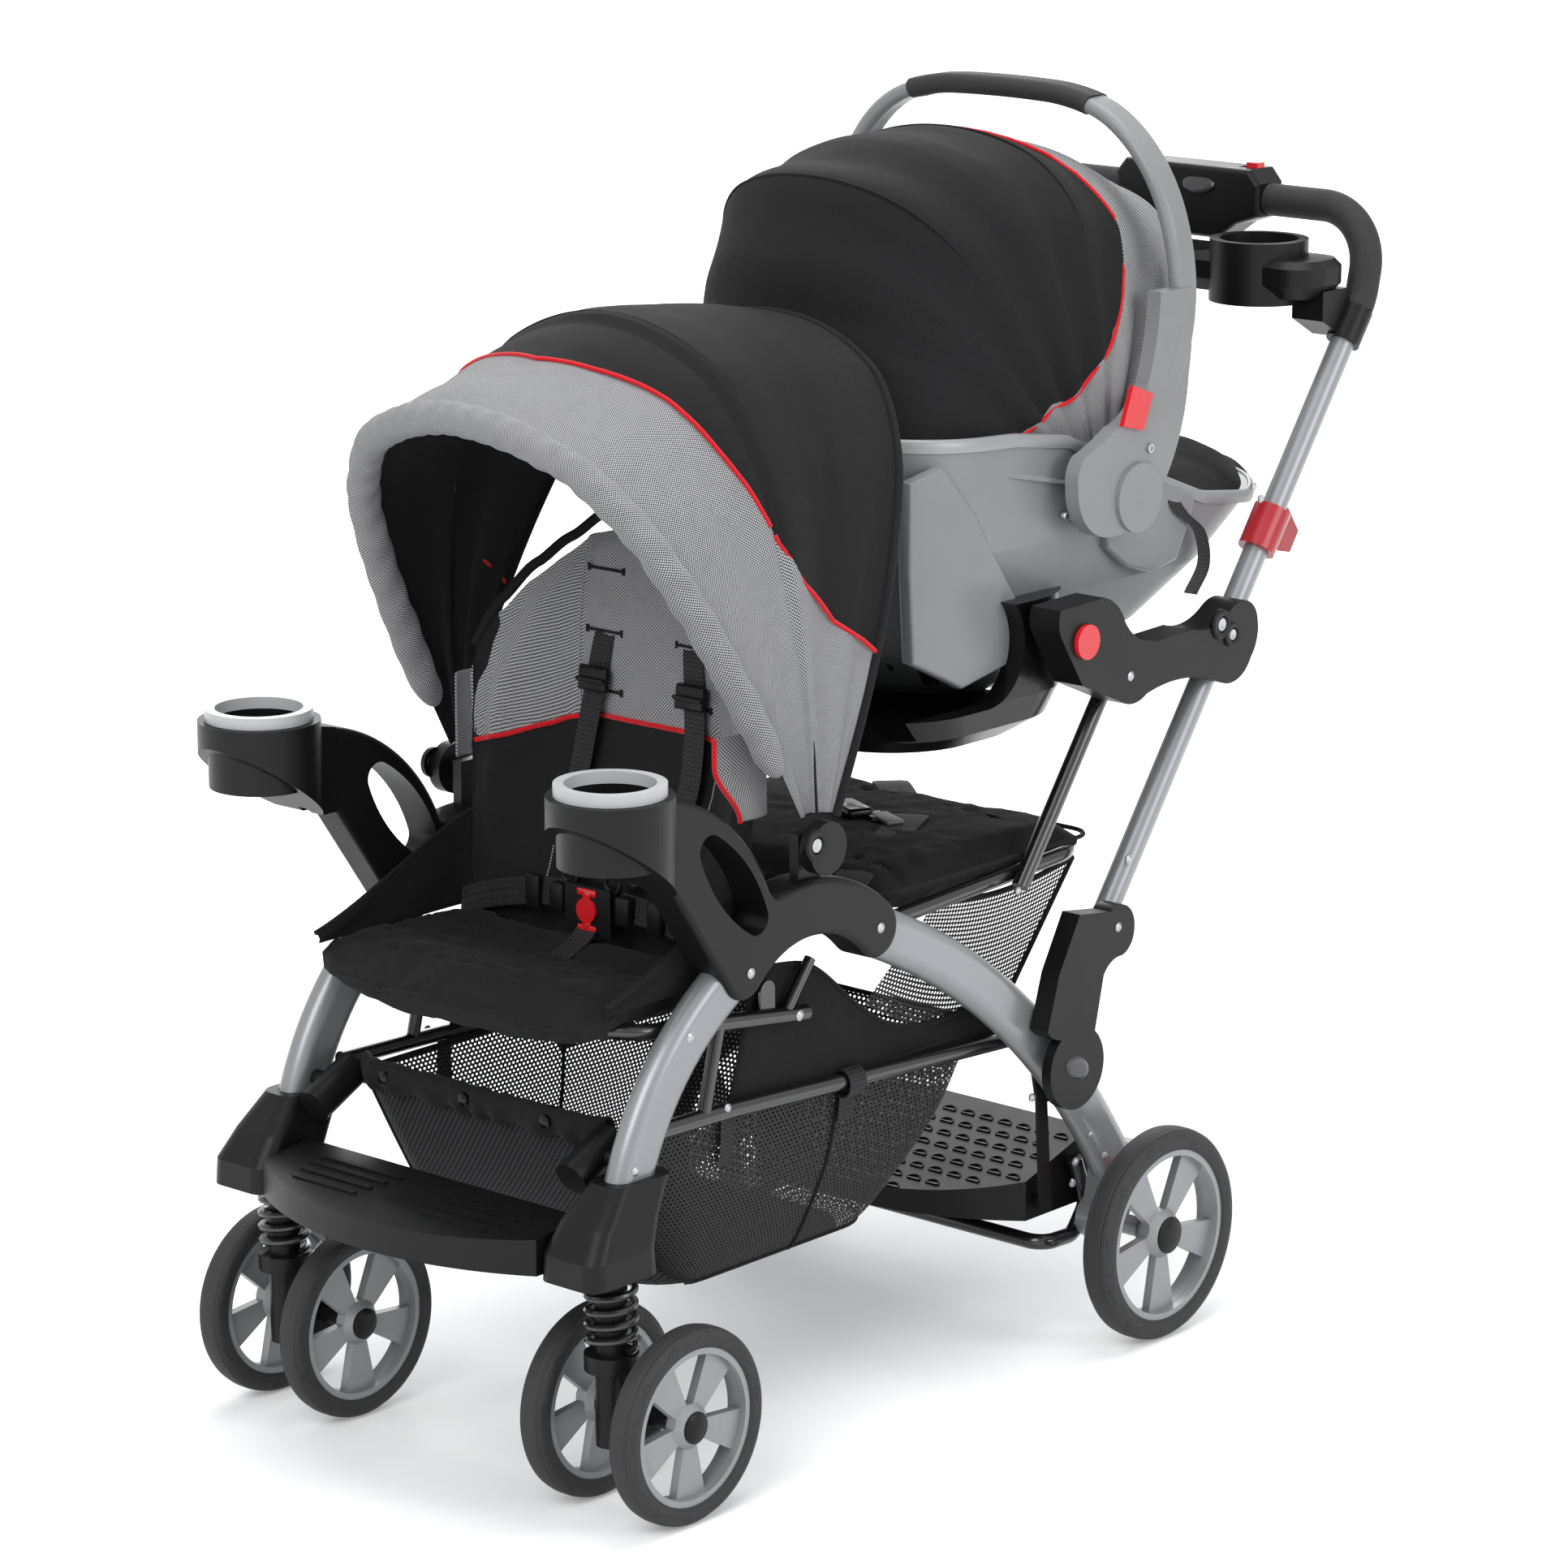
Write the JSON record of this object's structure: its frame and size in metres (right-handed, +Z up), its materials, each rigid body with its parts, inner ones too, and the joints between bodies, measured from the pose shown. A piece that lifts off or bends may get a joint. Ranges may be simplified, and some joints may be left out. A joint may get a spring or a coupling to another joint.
{
  "type": "sit and stand stroller",
  "caption": "Tandem sit and stand stroller with front seat and canopy, rear bench and standing board, lift-off infant carrier, basket, cup trays and twin front casters.",
  "frame": {"origin": "on the floor under the middle of the stroller", "axes": "+Z up, +X towards the left of a child in the front seat, front wheels towards -Y and push handle towards +Y"},
  "size_m": [0.598, 1.2601, 1.22],
  "materials": {
    "silver_frame": "satin silver grey",
    "black_tube": "gloss black",
    "black_plastic": "fine grain black",
    "gloss_black": "polished black",
    "grey_plastic": "light grey",
    "carrier_grey": "mid grey",
    "rim_grey": "silver grey",
    "red_plastic": "smooth red",
    "tyre_black": "matte",
    "black_fabric": "woven black",
    "grey_fabric": "fine grey check",
    "webbing": "ribbed webbing",
    "spring_black": "black",
    "grip_foam": "soft foam"
  },
  "bodies": {
    "frame": {"front_legs": "silver_frame", "rear_legs": "silver_frame", "armrests": "black_plastic", "cup_holders": "black_plastic", "cup_rings": "grey_plastic", "caster_housings": "black_plastic", "foot_platform": "black_plastic", "seat_frame": "black_tube", "rail_connectors": "black_plastic", "standing_platform": "black_plastic", "platform_stay": "black_tube", "fold_links": "black_plastic", "push_bar": "silver_frame", "handle_grip": "grip_foam", "handle_console": "black_plastic", "parent_tray": "black_plastic", "tray_arms": "black_plastic", "rear_tray": "gloss_black", "tray_tubes": "black_tube", "tube_clamps": "red_plastic", "seat_cushion": "black_fabric", "canopy_rear": "black_fabric", "canopy_mounts": "black_plastic", "basket": "black_fabric", "bench_pad": "black_fabric"},
    "seat_back": {"seat_back": "black_fabric", "harness_straps": "webbing", "harness_buckle": "black_plastic"},
    "buckle_button": {"buckle_button": "red_plastic"},
    "fold_trigger": {"fold_trigger": "red_plastic"},
    "fold_slide": {"fold_slide": "red_plastic"},
    "tray_button_left": {"tray_button_left": "red_plastic"},
    "tray_button_right": {"tray_button_right": "red_plastic"},
    "canopy_front": {"canopy_front": "grey_fabric"},
    "cup_lever_left": {"cup_lever_left": "red_plastic"},
    "cup_lever_right": {"cup_lever_right": "red_plastic"},
    "brake_pedal_left": {"brake_pedal_left": "red_plastic"},
    "brake_pedal_right": {"brake_pedal_right": "red_plastic"},
    "carrier": {"carrier_shell": "carrier_grey", "carrier_pad": "black_fabric", "carrier_canopy": "black_fabric"},
    "carrier_handle": {"carrier_handle": "carrier_grey", "carrier_grip": "grip_foam"},
    "carrier_releases": {"carrier_releases": "red_plastic"},
    "swivel_left": {"caster_spring_left": "spring_black"},
    "swivel_right": {"caster_spring_right": "spring_black"},
    "fork_left": {"caster_fork_left": "black_plastic"},
    "fork_right": {"caster_fork_right": "black_plastic"},
    "front_left_outer": {"front_left_outer_tyre": "tyre_black", "front_left_outer_rim": "rim_grey"},
    "front_left_inner": {"front_left_inner_tyre": "tyre_black", "front_left_inner_rim": "rim_grey"},
    "front_right_outer": {"front_right_outer_tyre": "tyre_black", "front_right_outer_rim": "rim_grey"},
    "front_right_inner": {"front_right_inner_tyre": "tyre_black", "front_right_inner_rim": "rim_grey"},
    "rear_left": {"rear_left_tyre": "tyre_black", "rear_left_rim": "rim_grey"},
    "rear_right": {"rear_right_tyre": "tyre_black", "rear_right_rim": "rim_grey"}
  },
  "joints": [
    {"name": "caster_left_swivel", "type": "hinge", "parent": "frame", "child": "swivel_left", "pos_m": [0.2115, -0.5239, 0.2], "axis": [0, 0, 1], "continuous": true},
    {"name": "suspension_left", "type": "slide", "parent": "swivel_left", "child": "fork_left", "axis": [0, 0, 1], "range_m": [0, 0.012], "stiffness_N_per_m": 9000, "springref_m": -0.008, "deforming": ["caster_spring_left"]},
    {"name": "front_left_outer_spin", "type": "hinge", "parent": "fork_left", "child": "front_left_outer", "pos_m": [0.2665, -0.4849, 0.0925], "axis": [1, 0, 0], "continuous": true},
    {"name": "front_left_inner_spin", "type": "hinge", "parent": "fork_left", "child": "front_left_inner", "pos_m": [0.1565, -0.4849, 0.0925], "axis": [1, 0, 0], "continuous": true},
    {"name": "rear_left_spin", "type": "hinge", "parent": "frame", "child": "rear_left", "pos_m": [0.283, 0.1921, 0.107], "axis": [1, 0, 0], "continuous": true},
    {"name": "brake_left", "type": "hinge", "parent": "frame", "child": "brake_pedal_left", "pos_m": [0.236, 0.2031, 0.134], "axis": [1, 0, 0], "range_deg": [0, 20]},
    {"name": "cup_lever_left_pull", "type": "hinge", "parent": "frame", "child": "cup_lever_left", "pos_m": [0.21, -0.4789, 0.622], "axis": [1, 0, 0], "range_deg": [0, 12], "stiffness_Nm_per_rad": 0.6, "springref_deg": -5.73},
    {"name": "tray_button_left_press", "type": "slide", "parent": "frame", "child": "tray_button_left", "axis": [-1, 0, 0], "range_m": [0, 0.0035], "stiffness_N_per_m": 900, "springref_m": -0.002},
    {"name": "caster_right_swivel", "type": "hinge", "parent": "frame", "child": "swivel_right", "pos_m": [-0.2115, -0.5239, 0.2], "axis": [0, 0, 1], "continuous": true},
    {"name": "suspension_right", "type": "slide", "parent": "swivel_right", "child": "fork_right", "axis": [0, 0, 1], "range_m": [0, 0.012], "stiffness_N_per_m": 9000, "springref_m": -0.008, "deforming": ["caster_spring_right"]},
    {"name": "front_right_outer_spin", "type": "hinge", "parent": "fork_right", "child": "front_right_outer", "pos_m": [-0.2665, -0.4849, 0.0925], "axis": [1, 0, 0], "continuous": true},
    {"name": "front_right_inner_spin", "type": "hinge", "parent": "fork_right", "child": "front_right_inner", "pos_m": [-0.1565, -0.4849, 0.0925], "axis": [1, 0, 0], "continuous": true},
    {"name": "rear_right_spin", "type": "hinge", "parent": "frame", "child": "rear_right", "pos_m": [-0.283, 0.1921, 0.107], "axis": [1, 0, 0], "continuous": true},
    {"name": "brake_right", "type": "hinge", "parent": "frame", "child": "brake_pedal_right", "pos_m": [-0.236, 0.2031, 0.134], "axis": [1, 0, 0], "range_deg": [0, 20]},
    {"name": "cup_lever_right_pull", "type": "hinge", "parent": "frame", "child": "cup_lever_right", "pos_m": [-0.21, -0.4789, 0.622], "axis": [1, 0, 0], "range_deg": [0, 12], "stiffness_Nm_per_rad": 0.6, "springref_deg": -5.73},
    {"name": "tray_button_right_press", "type": "slide", "parent": "frame", "child": "tray_button_right", "axis": [1, 0, 0], "range_m": [0, 0.0035], "stiffness_N_per_m": 900, "springref_m": -0.002},
    {"name": "fold_trigger_squeeze", "type": "slide", "parent": "frame", "child": "fold_trigger", "axis": [0, 0, 1], "range_m": [0, 0.006], "stiffness_N_per_m": 700, "springref_m": -0.003},
    {"name": "fold_slide_push", "type": "slide", "parent": "frame", "child": "fold_slide", "axis": [-1, 0, 0], "range_m": [0, 0.01], "stiffness_N_per_m": 150, "springref_m": -0.003},
    {"name": "buckle_press", "type": "slide", "parent": "seat_back", "child": "buckle_button", "axis": [0, 1, 0], "range_m": [0, 0.0025], "stiffness_N_per_m": 700, "springref_m": -0.002},
    {"name": "seat_recline", "type": "hinge", "parent": "frame", "child": "seat_back", "pos_m": [0, -0.2839, 0.44], "axis": [1, 0, 0], "range_deg": [-18, 0]},
    {"name": "canopy_fold", "type": "hinge", "parent": "frame", "child": "canopy_front", "pos_m": [0, -0.2639, 0.581], "axis": [1, 0, 0], "range_deg": [-22, 0]},
    {"name": "carrier_lift", "type": "slide", "parent": "frame", "child": "carrier", "axis": [0, 0.2873, 0.9578], "range_m": [0, 0.08]},
    {"name": "carrier_handle_fold", "type": "hinge", "parent": "carrier", "child": "carrier_handle", "pos_m": [0, 0.2201, 0.834], "axis": [1, 0, 0], "range_deg": [-30, 0]},
    {"name": "carrier_release", "type": "slide", "parent": "carrier_handle", "child": "carrier_releases", "axis": [0, -0.42, -0.9075], "range_m": [0, 0.003], "stiffness_N_per_m": 900, "springref_m": -0.002}
  ]
}
